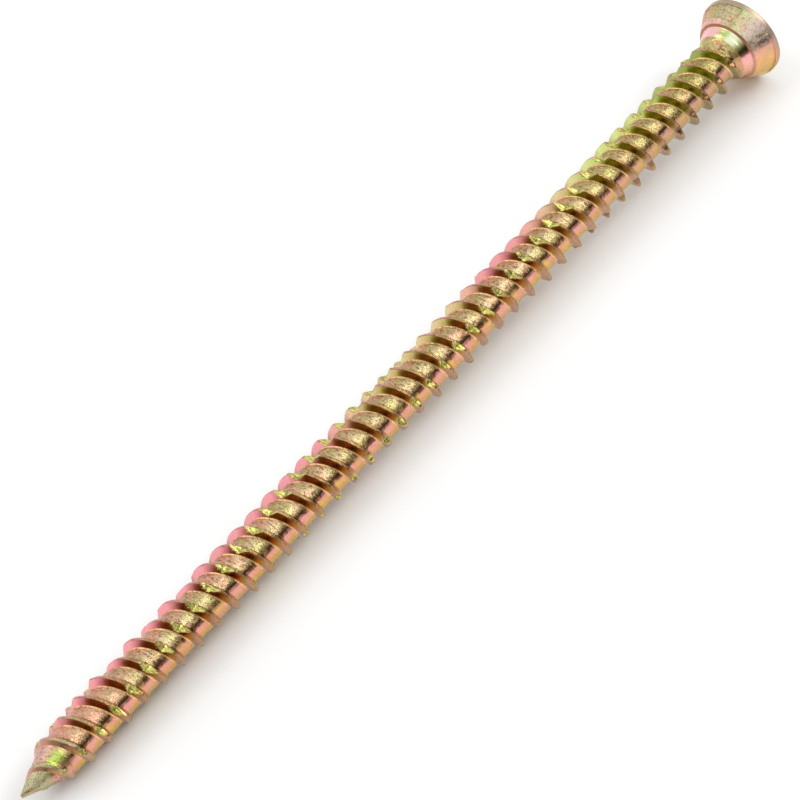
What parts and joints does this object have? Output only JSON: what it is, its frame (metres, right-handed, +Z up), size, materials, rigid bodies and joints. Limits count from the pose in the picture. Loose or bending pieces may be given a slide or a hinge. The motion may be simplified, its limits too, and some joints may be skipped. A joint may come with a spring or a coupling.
{
  "type": "concrete screw",
  "caption": "Long frame screw for concrete with a flat countersunk head, milling pockets, a six-lobe drive recess, twin notched threads and a cone point.",
  "frame": {"origin": "middle of the bounding box's base, on the surface that the screw lies on", "axes": "+X from the point to the head along the screw, +Z up from the surface; the screw's own axis rises by about 1 degree towards the head, because the head's rim is wider than the thread"},
  "size_m": [0.152, 0.0126, 0.0125],
  "materials": {
    "yellow_zinc": "yellow chromated zinc plating, rainbow sheen, rough rolled core"
  },
  "bodies": {
    "root": {"concrete_screw": "yellow_zinc"}
  },
  "joints": []
}
